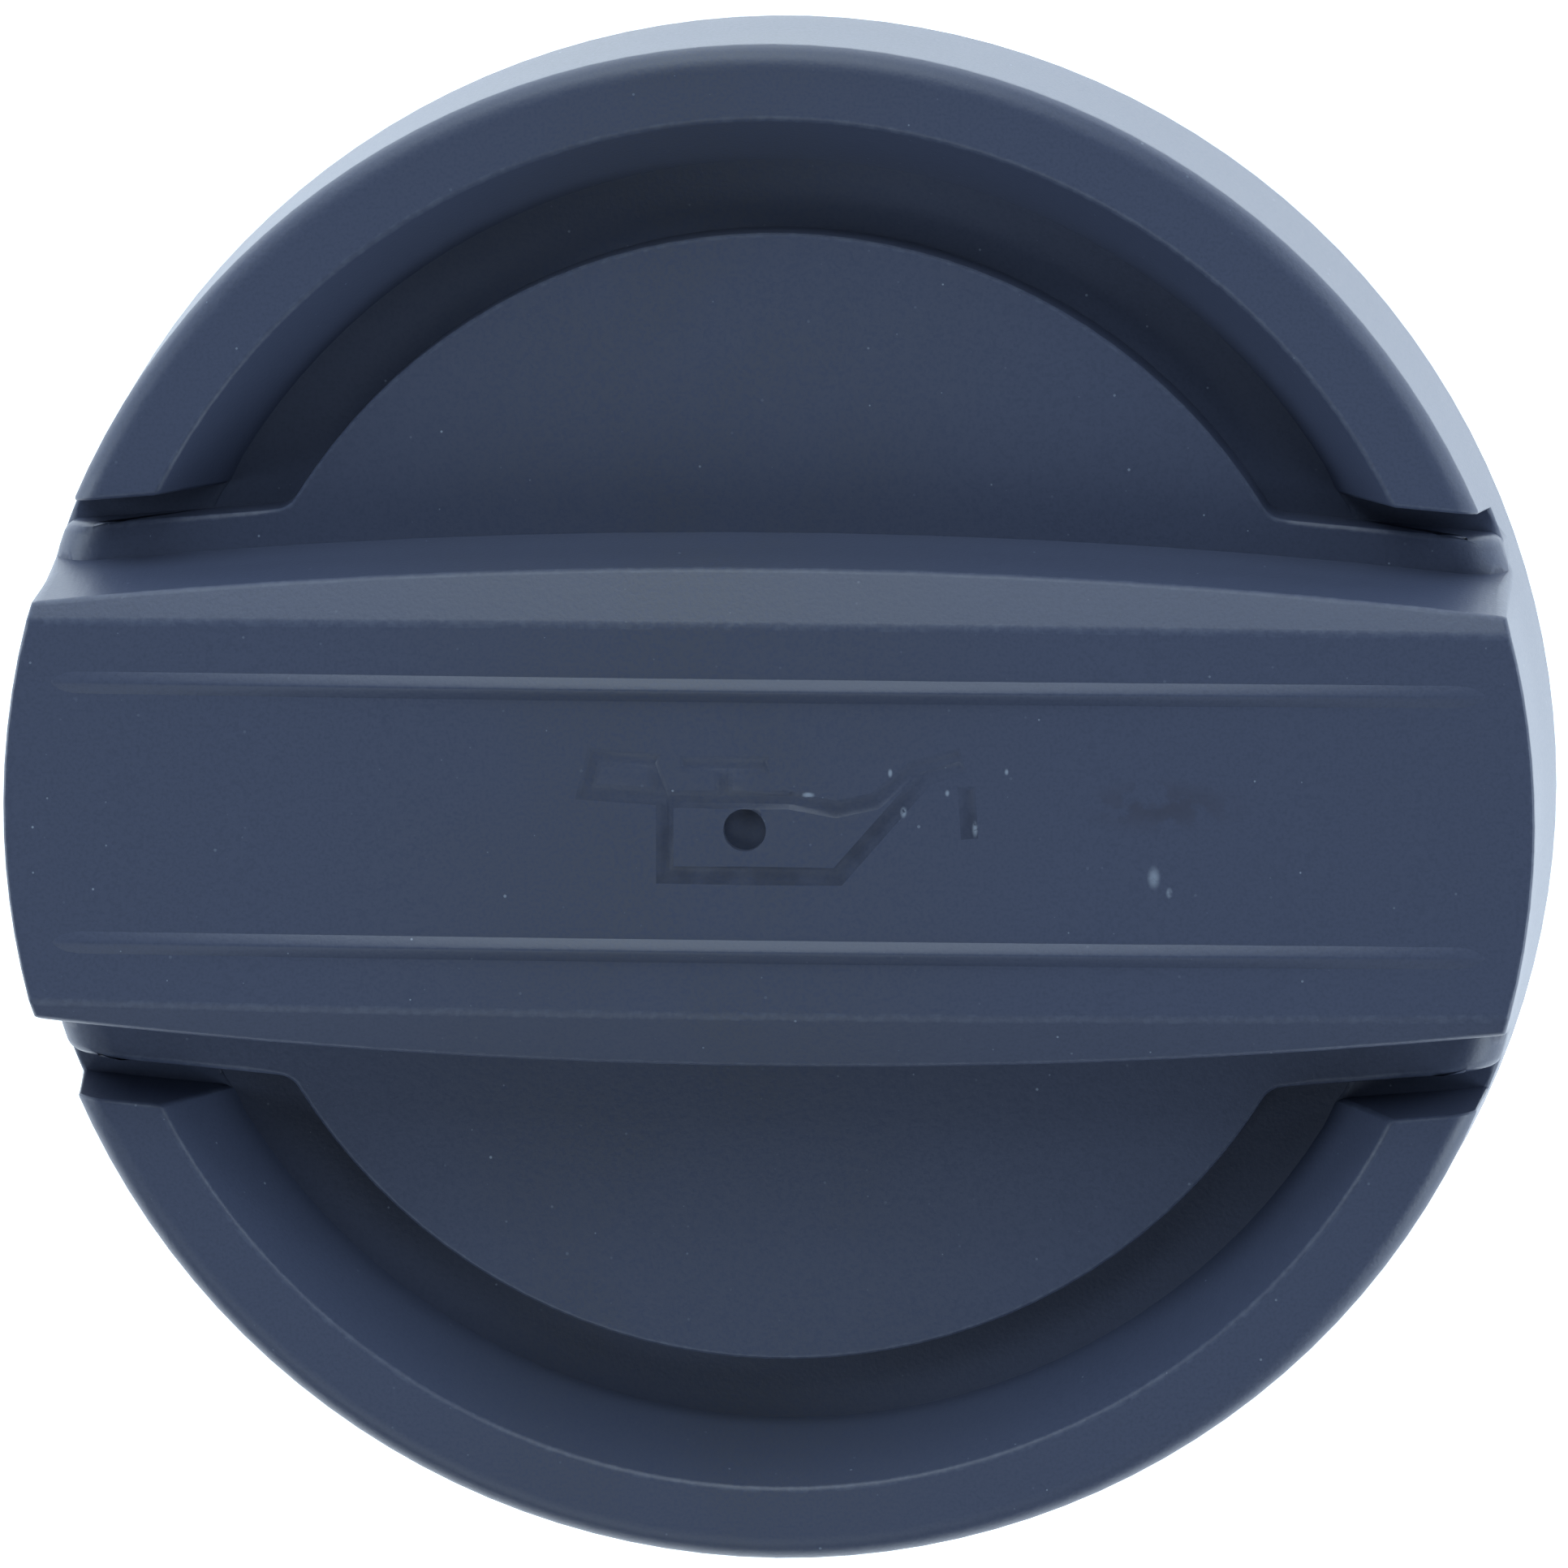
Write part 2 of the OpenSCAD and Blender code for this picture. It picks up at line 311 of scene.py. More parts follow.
@dataclass(frozen=True)
class MouldedPlastic:
    """Blue-black moulded plastic with a fine grain, a smear, small scuffs, a little dust and painted shade
    in its engraving.

    A pair says where a share starts and where it is full, or gives the values at none and at all of it.
    """

    base: Colour = (0.054, 0.068, 0.119)
    ior: float = 1.5
    shine: Pair = (0.5, 0.1)
    roughness: Pair = (0.37, 0.49)

    grain_tint: Colour = (0.047, 0.060, 0.106)
    grain_size: float = 0.16 * MM
    grain_detail: float = 3
    grain_tinted: Pair = (0.6, 0.3)
    grain_depth: float = 0.010 * MM
    streak_size: float = 0.35 * MM
    streak_detail: float = 2
    streak_stretch: Sequence[float] = (1, 1, 40)

    warm: Colour = (0.056, 0.066, 0.100)
    warm_centre: float = -4 * MM
    warm_reach: float = 20 * MM
    warm_mottle: Mottle = Mottle(9 * MM, 5, 0.38, 0.60)
    warm_levels: Pair = (0.5, 1.0)

    # Painted shade: this dark colour darkens the engraving's grooves, unevenly and most towards the
    # symbol's lower edge.
    shade: Colour = (0.012, 0.014, 0.024)
    engraved_fade: Pair = (2.6 * MM, -1.0 * MM)
    engraved_levels: Pair = (0.05, 0.36)
    engraved_shade_mottle: Mottle = Mottle(1.1 * MM, 4, 0.35, 0.65)
    shade_mottle_levels: Pair = (0.6, 1.1)

    dust: Colour = (0.42, 0.50, 0.62)
    edge_dust: Mottle = Mottle(0.45 * MM, 5, 0.42, 0.66)
    edge_share: float = 0.035
    specks: Specks = Specks()
    scuff_share: float = 0.5
    scuffs: Sequence[Blemish] = (
        Blemish(17.7 * MM, -2.4 * MM, 0.42 * MM, 0.75 * MM, 0.3 * MM, (0.2, 0.5)),
        Blemish(18.4 * MM, -3.1 * MM, 0.22 * MM, 0.36 * MM, 0.3 * MM, (0.2, 0.5)),
        Blemish(-31.6 * MM, 5.2 * MM, 1.4 * MM, 0.4 * MM, 0.22 * MM, (0.52, 0.64)),
        Blemish(1.95 * MM, 1.25 * MM, 0.42 * MM, 0.18 * MM),
        Blemish(5.7 * MM, 2.3 * MM, 0.14 * MM, 0.28 * MM),
        Blemish(8.3 * MM, 1.4 * MM, 0.14 * MM, 0.2 * MM),
        Blemish(6.3 * MM, 0.5 * MM, 0.22 * MM, 0.34 * MM, cut=(0.3, 0.5)),
        Blemish(9.55 * MM, -0.25 * MM, 0.2 * MM, 0.5 * MM),
        Blemish(11.0 * MM, 2.4 * MM, 0.13 * MM, 0.2 * MM),
    )

    smear_tint: Colour = (0.042, 0.048, 0.080)
    smear: Blemish = Blemish(18.3 * MM, 0.9 * MM, 5.4 * MM, 1.7 * MM, 1.0 * MM, (0.38, 0.56))

    def material(self) -> bpy.types.Material:
        """Builds the material.

        Returns:
            The moulded plastic.
        """
        graph = NodeGraph("moulded_plastic_finish")
        shader = graph.node("BsdfPrincipled")
        shader.inputs["IOR"].default_value = self.ior
        grain = graph.noise(self.grain_size, self.grain_detail)
        engraved = self.engraved_shade_share(graph)
        colour = graph.tint(self.warm_share(graph), self.base, self.warm)
        colour = graph.tint(graph.ramp(grain, *self.grain_tinted), colour, self.grain_tint)
        colour = graph.tint(self.smear.share(graph), colour, self.smear_tint)
        # Painted shade darkens the engraved grooves.
        colour = graph.tint(engraved, colour, self.shade)
        colour = graph.tint(self.dust_share(graph), colour, self.dust)
        graph.link(colour, shader.inputs["Base Color"])
        graph.link(graph.spread(engraved, *self.shine), shader.inputs["Specular IOR Level"])
        graph.link(graph.spread(grain, *self.roughness), shader.inputs["Roughness"])
        streaks = graph.noise(self.streak_size, self.streak_detail, self.streak_stretch)
        drawn = graph.bump(streaks, self.grain_depth)
        graph.link(graph.bump(grain, self.grain_depth, drawn), shader.inputs["Normal"])
        graph.link(shader.outputs[0], graph.output.inputs["Surface"])
        return graph.material

    def warm_share(self, graph: NodeGraph) -> bpy.types.NodeSocket:
        """Gives the share of the warmer colour, a faint mottle that is strongest near mid length.

        Args:
            graph: The graph to add to.

        Returns:
            The share, from 0 to 1.
        """
        axes = graph.node("SeparateXYZ")
        graph.link(graph.place(), axes.inputs[0])
        aside = graph.math("ABSOLUTE", graph.math("SUBTRACT", axes.outputs[0], self.warm_centre))
        middle = graph.ramp(aside, self.warm_reach, 0.0)
        mottled = graph.spread(self.warm_mottle.share(graph), *self.warm_levels)
        return graph.math("MULTIPLY", middle, mottled)

    def engraved_shade_share(self, graph: NodeGraph) -> bpy.types.NodeSocket:
        """Gives the share of painted shade in the engraving's grooves, uneven and fading towards the
        symbol's upper edge.

        Args:
            graph: The graph to add to.

        Returns:
            The share, from 0 to 1.
        """
        face = graph.node("Attribute", attribute_name=Mark.ENGRAVED.name_on())
        axes = graph.node("SeparateXYZ")
        graph.link(graph.place(), axes.inputs[0])
        lower = graph.ramp(axes.outputs[1], *self.engraved_fade)
        level = graph.spread(lower, *self.engraved_levels)
        uneven_shade = graph.spread(self.engraved_shade_mottle.share(graph), *self.shade_mottle_levels)
        return graph.math("MULTIPLY", face.outputs["Fac"], graph.math("MULTIPLY", level, uneven_shade))

    def dust_share(self, graph: NodeGraph) -> bpy.types.NodeSocket:
        """Gives the share of dust: a broken line along rounded edges, specks and scuffs.

        Args:
            graph: The graph to add to.

        Returns:
            The share, from 0 to 1.
        """
        edge = graph.node("Attribute", attribute_name=Mark.ROUNDED.name_on())
        line = graph.math("MULTIPLY", edge.outputs["Fac"], self.edge_dust.share(graph))
        share = graph.math("MULTIPLY", line, self.edge_share)
        share = graph.math("MAXIMUM", share, self.specks.share(graph))
        for scuff in self.scuffs:
            pale = graph.math("MULTIPLY", scuff.share(graph), self.scuff_share)
            share = graph.math("MAXIMUM", share, pale)
        return share


@dataclass(frozen=True)
class SealRubber:
    """Satin black rubber with a faint mottle."""

    base: Colour = (0.018, 0.018, 0.020)
    bloom: Colour = (0.035, 0.035, 0.038)
    bloomed: Pair = (0.45, 0.7)
    mottle_size: float = 1.5 * MM
    mottle_detail: float = 4
    roughness: Pair = (0.4, 0.6)
    grain_size: float = 0.12 * MM
    grain_depth: float = 0.004 * MM

    def material(self) -> bpy.types.Material:
        """Builds the material.

        Returns:
            The rubber.
        """
        graph = NodeGraph("seal_rubber_finish")
        shader = graph.node("BsdfPrincipled")
        mottle = graph.noise(self.mottle_size, self.mottle_detail)
        colour = graph.tint(graph.ramp(mottle, *self.bloomed), self.base, self.bloom)
        graph.link(colour, shader.inputs["Base Color"])
        graph.link(graph.spread(mottle, *self.roughness), shader.inputs["Roughness"])
        grain = graph.noise(self.grain_size)
        graph.link(graph.bump(grain, self.grain_depth), shader.inputs["Normal"])
        graph.link(shader.outputs[0], graph.output.inputs["Surface"])
        return graph.material


@dataclass(frozen=True)
class EdgeZone:
    """A box in the part's frame, mirrored over X and Y, whose edges get their own rounding.

    An edge is upright if it rises by more than the steep share of its length.
    """

    low: Sequence[float]
    high: Sequence[float]
    radius: float
    upright_only: bool = False
    steep: float = 0.5

    def holds(self, edge: bmesh.types.BMEdge) -> bool:
        """Tells whether an edge lies in the zone.

        Args:
            edge: The edge.

        Returns:
            True if its middle is inside, and it is upright where the zone asks for that.
        """
        middle = (edge.verts[0].co + edge.verts[1].co) / 2
        folded = (abs(middle.x), abs(middle.y), middle.z)
        inside = all(lo <= value <= hi for lo, value, hi in zip(self.low, folded, self.high))
        if inside and self.upright_only:
            run = edge.verts[1].co - edge.verts[0].co
            return abs(run.z) > run.length * self.steep
        return inside


class Mark(Enum):
    """Kinds of faces that the finish tells apart, each a material index while the mesh is made."""

    PLAIN = 0
    ROUNDED = 1
    ENGRAVED = 2

    def name_on(self) -> str:
        """Returns the name of the face attribute that holds the mark."""
        return self.name.lower() + "_face"


@dataclass
class SoftEdges:
    """Turns a CAD solid's mesh into a clean mesh with moulded edges where it is open to the sky."""

    WEIGHT: ClassVar[str] = "bevel_weight_edge"

    radius: float = 0.22 * MM
    widest: float = 0.6 * MM
    segments: int = 3
    sharp_angle: float = math.radians(22)
    weld: float = 1e-6
    flat_angle: float = math.radians(0.3)
    lift: float = 0.02 * MM

    def clean(self, source: bpy.types.Object) -> bmesh.types.BMesh:
        """Copies a CAD node's mesh, welds it and joins the triangles of each flat face.

        Args:
            source: The CAD node.

        Returns:
            The copy as a bmesh.
        """
        mesh = bmesh.new()
        mesh.from_mesh(source.data)
        bmesh.ops.remove_doubles(mesh, verts=mesh.verts, dist=self.weld)
        bmesh.ops.dissolve_degenerate(mesh, dist=self.weld, edges=mesh.edges)
        bmesh.ops.dissolve_limit(mesh, angle_limit=self.flat_angle, verts=mesh.verts, edges=mesh.edges)
        for face in mesh.faces:
            face.smooth = True
        return mesh

    def is_open(self, edge: bmesh.types.BMEdge, tree: BVHTree) -> bool:
        """Tells whether nothing lies over an edge.

        Args:
            edge: The edge.
            tree: The mesh as a search tree.

        Returns:
            True if a line straight up from just outside the edge meets nothing.
        """
        out = (edge.link_faces[0].normal + edge.link_faces[1].normal).normalized()
        start = (edge.verts[0].co + edge.verts[1].co) / 2 + out * self.lift
        return tree.ray_cast(start, Vector((0, 0, 1)))[0] is None

    def mark(self, mesh: bmesh.types.BMesh, zones: Sequence[EdgeZone]) -> int:
        """Gives each sharp outer edge under the open sky its rounding, as a share of the widest one.

        Args:
            mesh: The mesh.
            zones: Places with a rounding of their own.

        Returns:
            How many edges are rounded.
        """
        weight = mesh.edges.layers.float.new(self.WEIGHT)
        tree = BVHTree.FromBMesh(mesh)
        marked = 0
        for edge in mesh.edges:
            if len(edge.link_faces) != 2 or edge.calc_face_angle() < self.sharp_angle:
                continue
            if edge.is_convex and self.is_open(edge, tree):
                radius = next((zone.radius for zone in zones if zone.holds(edge)), self.radius)
                edge[weight] = radius / self.widest
                marked += radius > 0
        return marked

    def round_off(self, piece: bpy.types.Object, zones: Sequence[EdgeZone]) -> None:
        """Rounds the edges of a piece.

        Args:
            piece: The piece.
            zones: Places with a rounding of their own.
        """
        mesh = bmesh.new()
        mesh.from_mesh(piece.data)
        bmesh.ops.remove_doubles(mesh, verts=mesh.verts, dist=self.weld)
        marked = self.mark(mesh, zones)
        mesh.to_mesh(piece.data)
        mesh.free()
        bevel = piece.modifiers.new("moulded edges", "BEVEL")
        bevel.width = self.widest
        bevel.segments = self.segments
        bevel.limit_method = "WEIGHT"
        bevel.use_clamp_overlap = False
        bevel.miter_outer = "MITER_SHARP"
        bevel.material = Mark.ROUNDED.value
        apply_modifiers(piece)
        LOG.info("%s: %d edges rounded, %d faces", piece.name, marked, len(piece.data.polygons))


def apply_modifiers(piece: bpy.types.Object) -> None:
    """Turns a piece's modifiers into its mesh.

    Args:
        piece: The piece.
    """
    graph = bpy.context.evaluated_depsgraph_get()
    final = bpy.data.meshes.new_from_object(piece.evaluated_get(graph), depsgraph=graph)
    raw = piece.data
    piece.modifiers.clear()
    piece.data = final
    bpy.data.meshes.remove(raw)
    final.name = piece.name


def keep_marks(data: bpy.types.Mesh) -> None:
    """Writes the marks of a mesh's faces as attributes, and puts all faces on the first material.

    Args:
        data: The mesh.
    """
    kinds = [face.material_index for face in data.polygons]
    data.polygons.foreach_set("material_index", [Mark.PLAIN.value] * len(kinds))
    for mark in (Mark.ROUNDED, Mark.ENGRAVED):
        shares = [float(kind == mark.value) for kind in kinds]
        data.attributes.new(mark.name_on(), "FLOAT", "FACE").data.foreach_set("value", shares)


def new_piece(name: str, mesh: bmesh.types.BMesh) -> bpy.types.Object:
    """Turns a bmesh into an object with one empty material slot for each mark.

    Args:
        name: Name of the object and its mesh.
        mesh: The bmesh, which is freed.

    Returns:
        The object.
    """
    data = bpy.data.meshes.new(name)
    mesh.to_mesh(data)
    mesh.free()
    data.materials.clear()
    for _ in Mark:
        data.materials.append(None)
    piece = bpy.data.objects.new(name, data)
    bpy.context.scene.collection.objects.link(piece)
    return piece


def cut(piece: bpy.types.Object, mesh: bmesh.types.BMesh) -> None:
    """Cuts a closed form out of a piece.

    Args:
        piece: The piece.
        mesh: The form, which is freed.
    """
    bmesh.ops.recalc_face_normals(mesh, faces=mesh.faces)
    for face in mesh.faces:
        face.smooth = True
    cutter = new_piece("cutter", mesh)
    tool = piece.modifiers.new("cut", "BOOLEAN")
    tool.operation = "DIFFERENCE"
    tool.solver = "MANIFOLD"
    tool.object = cutter
    apply_modifiers(piece)
    bpy.data.objects.remove(cutter)


def skin(mesh: bmesh.types.BMesh, rings: Sequence[Sequence[Vector]]) -> None:
    """Joins rings of points into a closed tube with flat ends.

    Args:
        mesh: The mesh to add to.
        rings: The rings, each with the same number of points.
    """
    made = [[mesh.verts.new(point) for point in ring] for ring in rings]
    mesh.faces.new(list(reversed(made[0])))
    mesh.faces.new(made[-1])
    count = len(made[0])
    for ring, after in zip(made, made[1:]):
        for i in range(count):
            k = (i + 1) % count
            mesh.faces.new((ring[i], ring[k], after[k], after[i]))


@dataclass
class BarTop:
    """The bar's arched top, which falls to its ends, and its two thin beads, laid anew in even steps."""

    reach: float = 35 * MM
    fall: float = 0.65 * MM
    step: float = 0.5 * MM
    bead_y: float = 6 * MM
    bead_half: float = 0.54 * MM
    bead_h: float = 0.32 * MM
    bead_end_h: float = 0.06 * MM
    bead_end_dip: float = 0.12 * MM
    bead_reach: float = 33.1 * MM
    run_out: float = 1.6 * MM
    bead_parts: int = 16
    bead_power: float = 1.3
    sink: float = 0.02 * MM

    def height(self, x: float) -> float:
        """Gives the top's height.

        Args:
            x: Distance from mid length.

        Returns:
            The height over the floor.
        """
        radius = (self.reach ** 2 + self.fall ** 2) / (2 * self.fall)
        return CAD_TOP - self.bead_h - radius + math.sqrt(radius ** 2 - x ** 2)

    def stations(self) -> list[float]:
        """Splits a bead's length into even steps, from one end to the other."""
        count = round(2 * self.bead_reach / self.step)
        return [self.bead_reach * (2 * i / count - 1) for i in range(count + 1)]

    def bead(self, mesh: bmesh.types.BMesh, y: float) -> None:
        """Adds a bead: a low ridge with straight flanks that runs out at both ends.

        Args:
            mesh: The mesh to add to.
            y: Its place across the bar.
        """
        shares = [2 * i / self.bead_parts - 1 for i in range(self.bead_parts + 1)]
        rings = []
        for x in self.stations():
            rise = self.bead_h + (self.bead_end_h - self.bead_h) * (x / self.bead_reach) ** 2
            ending = max(0.0, (abs(x) - self.bead_reach + self.run_out) / self.run_out)
            foot = self.height(x) - self.sink - self.bead_end_dip * ending ** 2
            crest = rise + self.sink
            rings.append([
                Vector((x, y + share * self.bead_half, foot + crest * (1 - abs(share) ** self.bead_power)))
                for share in shares
            ])
        skin(mesh, rings)

    def sink_old_beads(self, mesh: bmesh.types.BMesh) -> None:
        """Pushes the CAD beads just under the top, where the new beads hide them.

        Args:
            mesh: The cap's mesh.
        """
        for vert in mesh.verts:
            x, y, z = vert.co
            if abs(abs(y) - self.bead_y) < self.bead_half and abs(x) < self.bead_reach + self.run_out:
                if z > self.height(x):
                    vert.co.z = self.height(x) - self.sink / 2

    def add_beads(self, piece: bpy.types.Object) -> None:
        """Adds both beads to a piece.

        Args:
            piece: The piece.
        """
        mesh = bmesh.new()
        for side in (-1, 1):
            self.bead(mesh, side * self.bead_y)
        bmesh.ops.recalc_face_normals(mesh, faces=mesh.faces)
        for face in mesh.faces:
            face.smooth = True
        mesh.from_mesh(piece.data)
        mesh.to_mesh(piece.data)
        mesh.free()


@dataclass
class OilCanSymbol:
    """A generic oil can, engraved in the bar's top by grooves whose walls lean to a narrower floor."""

    top: BarTop
    depth: float = 0.13 * MM
    over: float = 0.04 * MM
    width: float = 0.84 * MM
    floor_share: float = 0.45
    box: Pair = (12 * MM, 4 * MM)
    marked: Pair = (0.03 * MM, 0.16 * MM)
    # The can, the spout's upper side, the handle, the lid on its neck and the drop, in millimetres
    lines: Sequence[Sequence[Pair]] = (
        ((8.7, 2.6), (7.3, 2.1), (3.3, -2.5), (-4.6, -2.5), (-4.6, 1.0), (1.4, 1.0)),
        ((1.1, 1.0), (3.2, 0.6), (5.0, 1.0), (6.8, 2.5), (8.6, 3.0)),
        ((-4.7, 1.1), (-8.2, 1.3), (-7.8, 2.9), (-5.2, 2.7)),
        ((-5.2, 2.6), (-4.7, 1.2)),
        ((-1.9, 1.1), (-1.9, 2.4)),
        ((-3.5, 2.6), (-0.2, 2.6)),
        ((9.2, 1.3), (9.3, -0.3)),
    )

    def groove(self, line: Sequence[Vector]) -> bmesh.types.BMesh:
        """Makes the cutter of a groove along a bent line, with mitred bends.

        Args:
            line: The line's points.

        Returns:
            The cutter.
        """
        mesh = bmesh.new()
        runs = [(after - point).normalized() for point, after in zip(line, line[1:])]
        rings = []
        lean = (1 - self.floor_share) / self.depth
        levels = ((1, self.over), (1, -self.depth), (-1, -self.depth), (-1, self.over))
        for i, point in enumerate(line):
            before, after = runs[max(i - 1, 0)], runs[min(i, len(runs) - 1)]
            along = (before + after).normalized()
            across = Vector((-along.y, along.x)) / along.dot(after)
            end = (i == len(line) - 1) - (i == 0)
            ring = []
            for side, rise in levels:
                half = self.width / 2 * (1 + lean * rise)
                place = point + across * (side * half) + along * (end * half)
                ring.append(Vector((*place, self.top.height(point.x) + rise)))
            rings.append(ring)
        skin(mesh, rings)
        return mesh

    def engrave(self, piece: bpy.types.Object) -> None:
        """Cuts the symbol into a piece and marks the faces of its floor and walls.

        Args:
            piece: The piece.
        """
        for line in self.lines:
            cut(piece, self.groove([Vector(pair) * MM for pair in line]))
        reach, half = self.box
        least, most = self.marked
        for face in piece.data.polygons:
            x, y, z = face.center
            if abs(x) < reach and abs(y) < half and least < self.top.height(x) - z < most:
                face.material_index = Mark.ENGRAVED.value


@dataclass
class MouldedCap:
    """The cap's single moulding: top, grip bar, rims, side wall, stem and lugs."""

    edges: SoftEdges = field(default_factory=SoftEdges)
    finish: MouldedPlastic = field(default_factory=MouldedPlastic)
    top: BarTop = field(default_factory=BarTop)
    bar_rise: float = 4.4 * MM
    bar_side: Pair = (8.5 * MM, 12.5 * MM)
    corner_reach: float = 4 * MM
    corner_r: float = 0.5 * MM
    bead_zone: float = 0.7 * MM
    flat_turn: float = math.radians(25)

    def zones(self) -> list[EdgeZone]:
        """Lists the places whose edges aren't rounded like the others.

        Returns:
            The beads, the symbol with the gate dimple, which all stay sharp, and the bar's upright corners.
        """
        reach, _, high = CAD_BOUNDS[1]
        low = high - self.bar_rise / 2
        near, far = self.bar_side
        bead_near, bead_far = self.top.bead_y - self.bead_zone, self.top.bead_y + self.bead_zone
        return [
            EdgeZone((0, bead_near, low), (self.top.bead_reach, bead_far, high), 0),
            EdgeZone((0, 0, low), (*OilCanSymbol.box, high), 0),
            EdgeZone((reach - self.corner_reach, near, 0), (reach, far, high), self.corner_r, True),
        ]

    def build(self) -> bpy.types.Object:
        """Builds and dresses the moulding.

        Returns:
            The piece.
        """
        mesh = self.edges.clean(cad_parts["cap_body"])
        self.top.sink_old_beads(mesh)
        piece = new_piece("moulded_cap", mesh)
        OilCanSymbol(self.top).engrave(piece)
        self.edges.round_off(piece, self.zones())
        self.top.add_beads(piece)
        keep_marks(piece.data)
        piece.data.materials.clear()
        piece.data.materials.append(self.finish.material())
        piece.data.set_sharp_from_angle(angle=self.flat_turn)
        piece.modifiers.new("flat faces", "WEIGHTED_NORMAL").keep_sharp = True
        apply_modifiers(piece)
        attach(piece, BODY)
        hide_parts("cap_body")
        return piece


@dataclass
class SealingRing:
    """The round rubber ring, which keeps its CAD solid and gets its finish."""

    finish: SealRubber = field(default_factory=SealRubber)

    def build(self) -> bpy.types.Object:
        """Dresses the CAD node.

        Returns:
            The ring's object.
        """
        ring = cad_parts["sealing_ring"]
        ring.data.materials.clear()
        ring.data.materials.append(self.finish.material())
        return ring


@dataclass
class PhotoCamera:
    """The photograph's view: almost straight down, leaning to +Y and a little to +X."""

    lean_x: float = math.radians(4.93)
    lean_y: float = math.radians(8.53)
    roll: float = math.radians(-0.1)
    distance: float = 1.0
    aim_height: float = 23 * MM
    pixels: int = 1932
    pixels_per_mm: float = 26.95
    aim_pixel: Pair = (955.5, 991.0)
    sensor: float = 36.0

    def build(self) -> bpy.types.Object:
        """Adds the camera and makes it the scene's own.

        Returns:
            The camera's object.
        """
        back = Vector((math.tan(self.lean_x), math.tan(self.lean_y), 1)).normalized()
        right = Vector((0, 1, 0)).cross(back).normalized()
        up = back.cross(right)
        turned_right = right * math.cos(self.roll) + up * math.sin(self.roll)
        turned_up = up * math.cos(self.roll) - right * math.sin(self.roll)
        metres_per_pixel = MM / self.pixels_per_mm
        aside = (self.pixels / 2 - self.aim_pixel[0]) * metres_per_pixel
        above = (self.aim_pixel[1] - self.pixels / 2) * metres_per_pixel
        place = Vector((0, 0, self.aim_height)) + back * self.distance
        place += turned_right * aside + turned_up * above
        data = bpy.data.cameras.new("photo_camera")
        data.sensor_width = self.sensor
        data.lens = self.sensor * self.distance / (self.pixels * metres_per_pixel)
        camera = bpy.data.objects.new("photo_camera", data)
        bpy.context.scene.collection.objects.link(camera)
        axes = Matrix((turned_right, turned_up, back)).transposed().to_4x4()
        camera.matrix_world = Matrix.Translation(place) @ axes
        bpy.context.scene.camera = camera
        return camera


@dataclass(frozen=True)
class SoftBox:
    """A square area light that looks at the cap, its azimuth counted in degrees from +Y towards +X."""

    name: str
    azimuth: float
    elevation: float
    watts: float
    distance: float = 0.9
    size: float = 0.5
    colour: Colour = (0.80, 0.92, 1.0)

    def build(self, aim: Vector) -> bpy.types.Object:
        """Adds the light.

        Args:
            aim: The point that it looks at.

        Returns:
            The light's object.
        """
        data = bpy.data.lights.new(self.name, "AREA")
        data.shape = "SQUARE"
        data.size = self.size
        data.energy = self.watts
        data.color = self.colour
        light = bpy.data.objects.new(self.name, data)
        bpy.context.scene.collection.objects.link(light)
        turn, rise = math.radians(self.azimuth), math.radians(self.elevation)
        way = Vector((math.sin(turn) * math.cos(rise), math.cos(turn) * math.cos(rise), math.sin(rise)))
        light.location = aim + way * self.distance
        light.rotation_euler = way.to_track_quat("Z", "Y").to_euler()
        return light


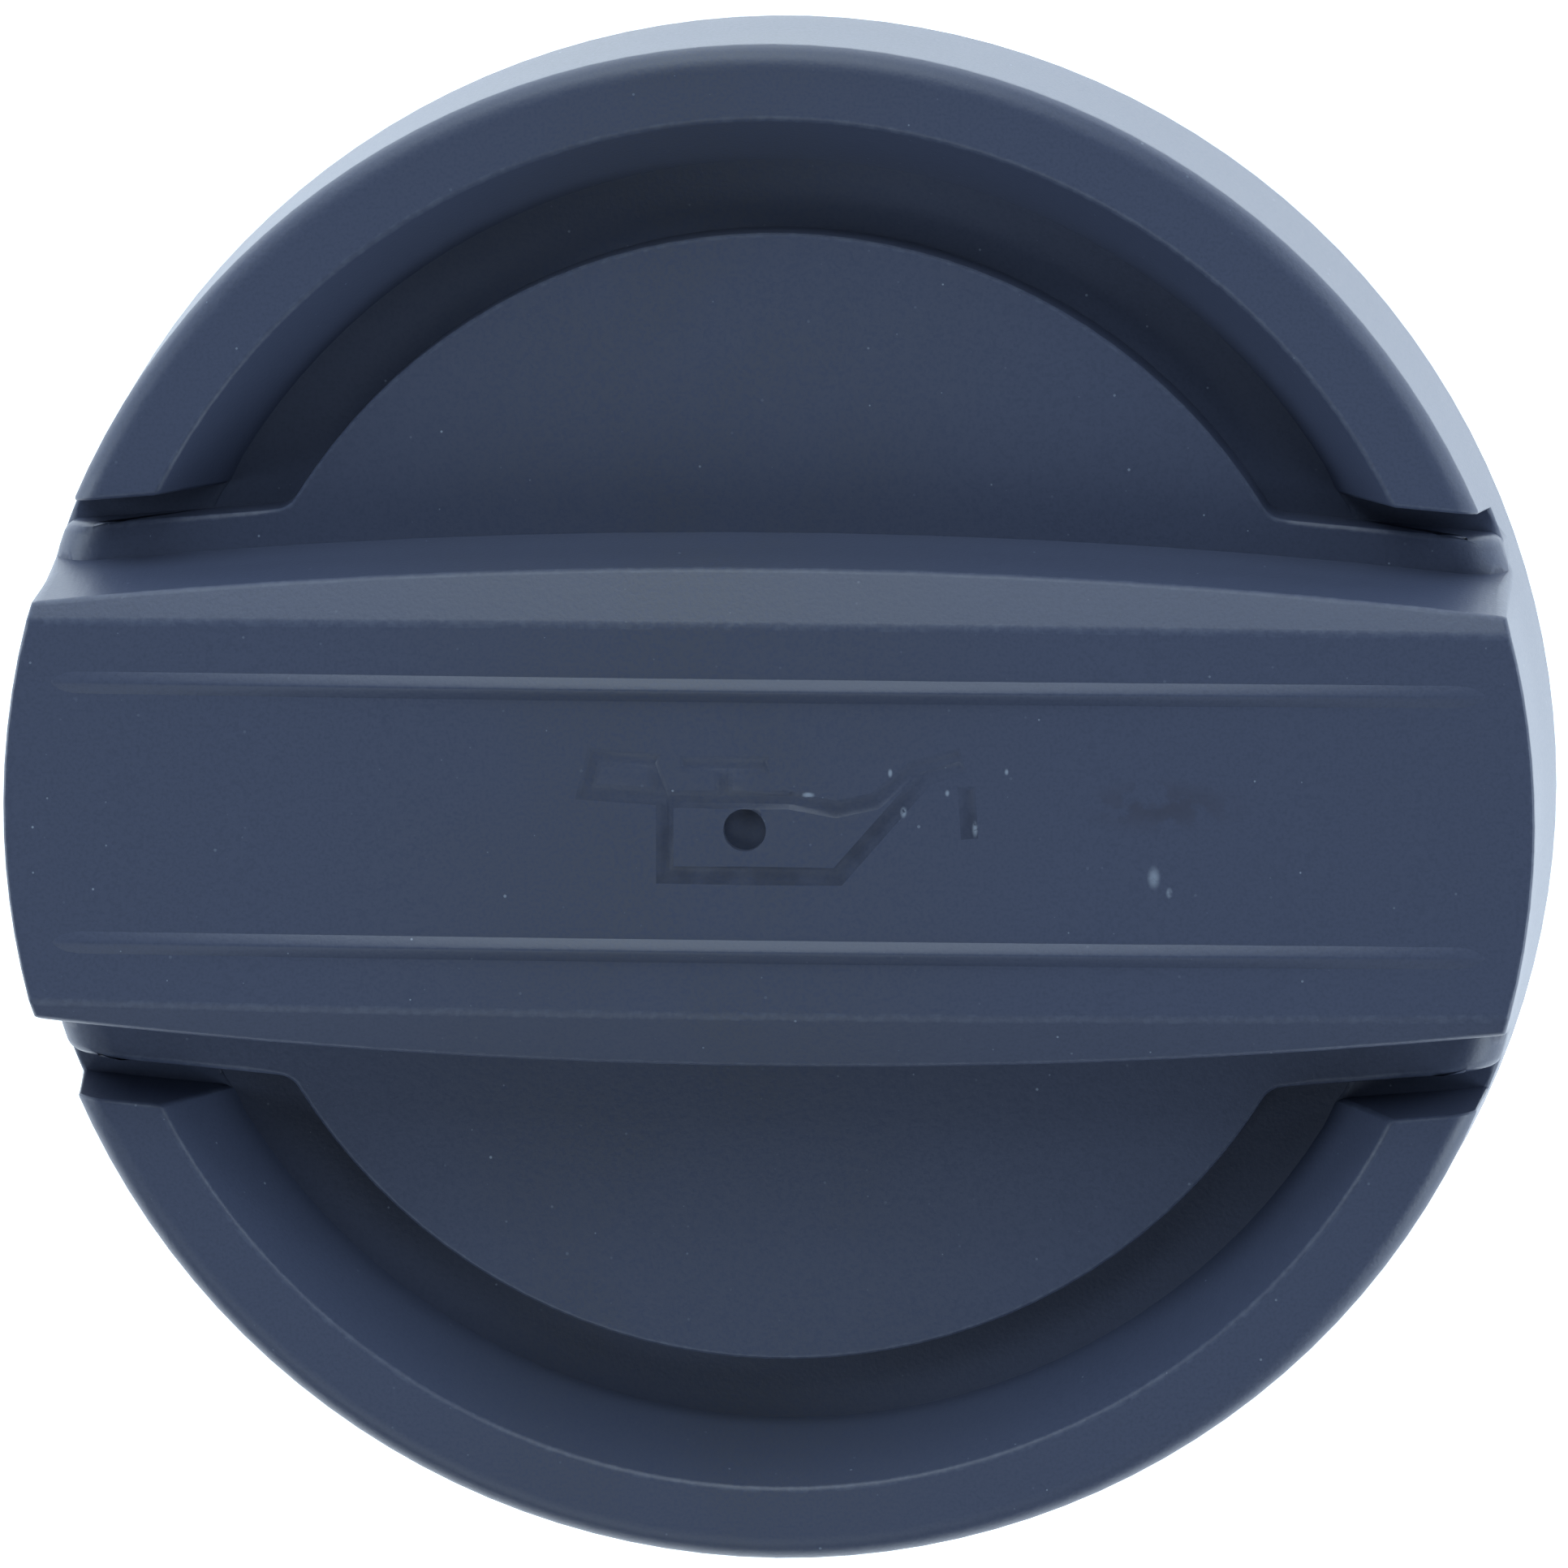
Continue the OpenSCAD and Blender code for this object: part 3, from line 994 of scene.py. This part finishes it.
@dataclass
class Studio:
    """A pale floor and low soft light from all sides, with a higher light from the rear and the front."""

    floor_half: float = 3.0
    floor_colour: Colour = (0.80, 0.82, 0.84)
    glow_colour: Colour = (0.84, 0.93, 1.0)
    floor_glows: Sequence[tuple[Ray, float]] = (
        (Ray.CAMERA, 1.0),
        (Ray.GLOSSY, 2.0),
        (Ray.TRANSMISSION, 1.0),
    )
    sky_colour: Colour = (0.86, 0.93, 1.0)
    sky_level: float = 0.02
    boxes: Sequence[SoftBox] = (
        SoftBox("rear_high_box", 0, 45, 1.8),
        SoftBox("rear_low_box", 0, 20, 2.2),
        SoftBox("right_rear_box", 60, 20, 2.6),
        SoftBox("right_front_box", 116, 20, 5.2),
        SoftBox("front_high_box", 205, 48, 1.35),
        SoftBox("left_box", 269, 20, 4.5),
        SoftBox("left_rear_box", 330, 20, 2.1),
    )

    def floor_material(self) -> bpy.types.Material:
        """Builds the floor's finish: pale, but white to the camera and brighter still in reflections.

        Returns:
            The floor's material.
        """
        graph = NodeGraph("pale_floor")
        paint = graph.node("BsdfDiffuse")
        paint.inputs["Color"].default_value = (*self.floor_colour, 1)
        glow = graph.node("Emission")
        path = graph.node("LightPath")
        level: object = 0.0
        for ray, share in self.floor_glows:
            level = graph.math("MAXIMUM", level, graph.math("MULTIPLY", path.outputs[ray.value], share))
        glow.inputs["Color"].default_value = (*self.glow_colour, 1)
        graph.link(level, glow.inputs["Strength"])
        both = graph.node("AddShader")
        graph.link(paint.outputs[0], both.inputs[0])
        graph.link(glow.outputs[0], both.inputs[1])
        graph.link(both.outputs[0], graph.output.inputs["Surface"])
        return graph.material

    def floor(self) -> bpy.types.Object:
        """Adds the floor.

        Returns:
            The floor's object.
        """
        half = self.floor_half
        corners = [(-half, -half, 0), (half, -half, 0), (half, half, 0), (-half, half, 0)]
        data = bpy.data.meshes.new("pale_floor")
        data.from_pydata(corners, [], [range(len(corners))])
        data.materials.append(self.floor_material())
        floor = bpy.data.objects.new("pale_floor", data)
        bpy.context.scene.collection.objects.link(floor)
        return floor

    def sky(self) -> bpy.types.World:
        """Adds the sky, a faint even light.

        Returns:
            The sky's world.
        """
        world = bpy.data.worlds.new("soft_sky")
        world.use_nodes = True
        glow = world.node_tree.nodes["Background"]
        glow.inputs["Color"].default_value = (*self.sky_colour, 1)
        glow.inputs["Strength"].default_value = self.sky_level
        bpy.context.scene.world = world
        return world

    def build(self) -> bpy.types.Object:
        """Adds the floor, the sky and the lights.

        Returns:
            The floor's object.
        """
        floor = self.floor()
        self.sky()
        for box in self.boxes:
            box.build(Vector((0, 0, CAD_TOP / 2)))
        return floor


def main() -> None:
    """Builds the cap, the studio and the camera in order and reports each piece."""
    logging.basicConfig(level=logging.INFO, format="%(message)s")
    scene = bpy.context.scene
    scene.view_settings.view_transform = "Standard"
    LOG.info("camera: %s", PhotoCamera().build().name)
    for part in (MouldedCap(), SealingRing()):
        piece = part.build()
        LOG.info("piece: %s", piece.name)
    LOG.info("stage: %s", Studio().build().name)


if __name__ == "__main__":
    main()
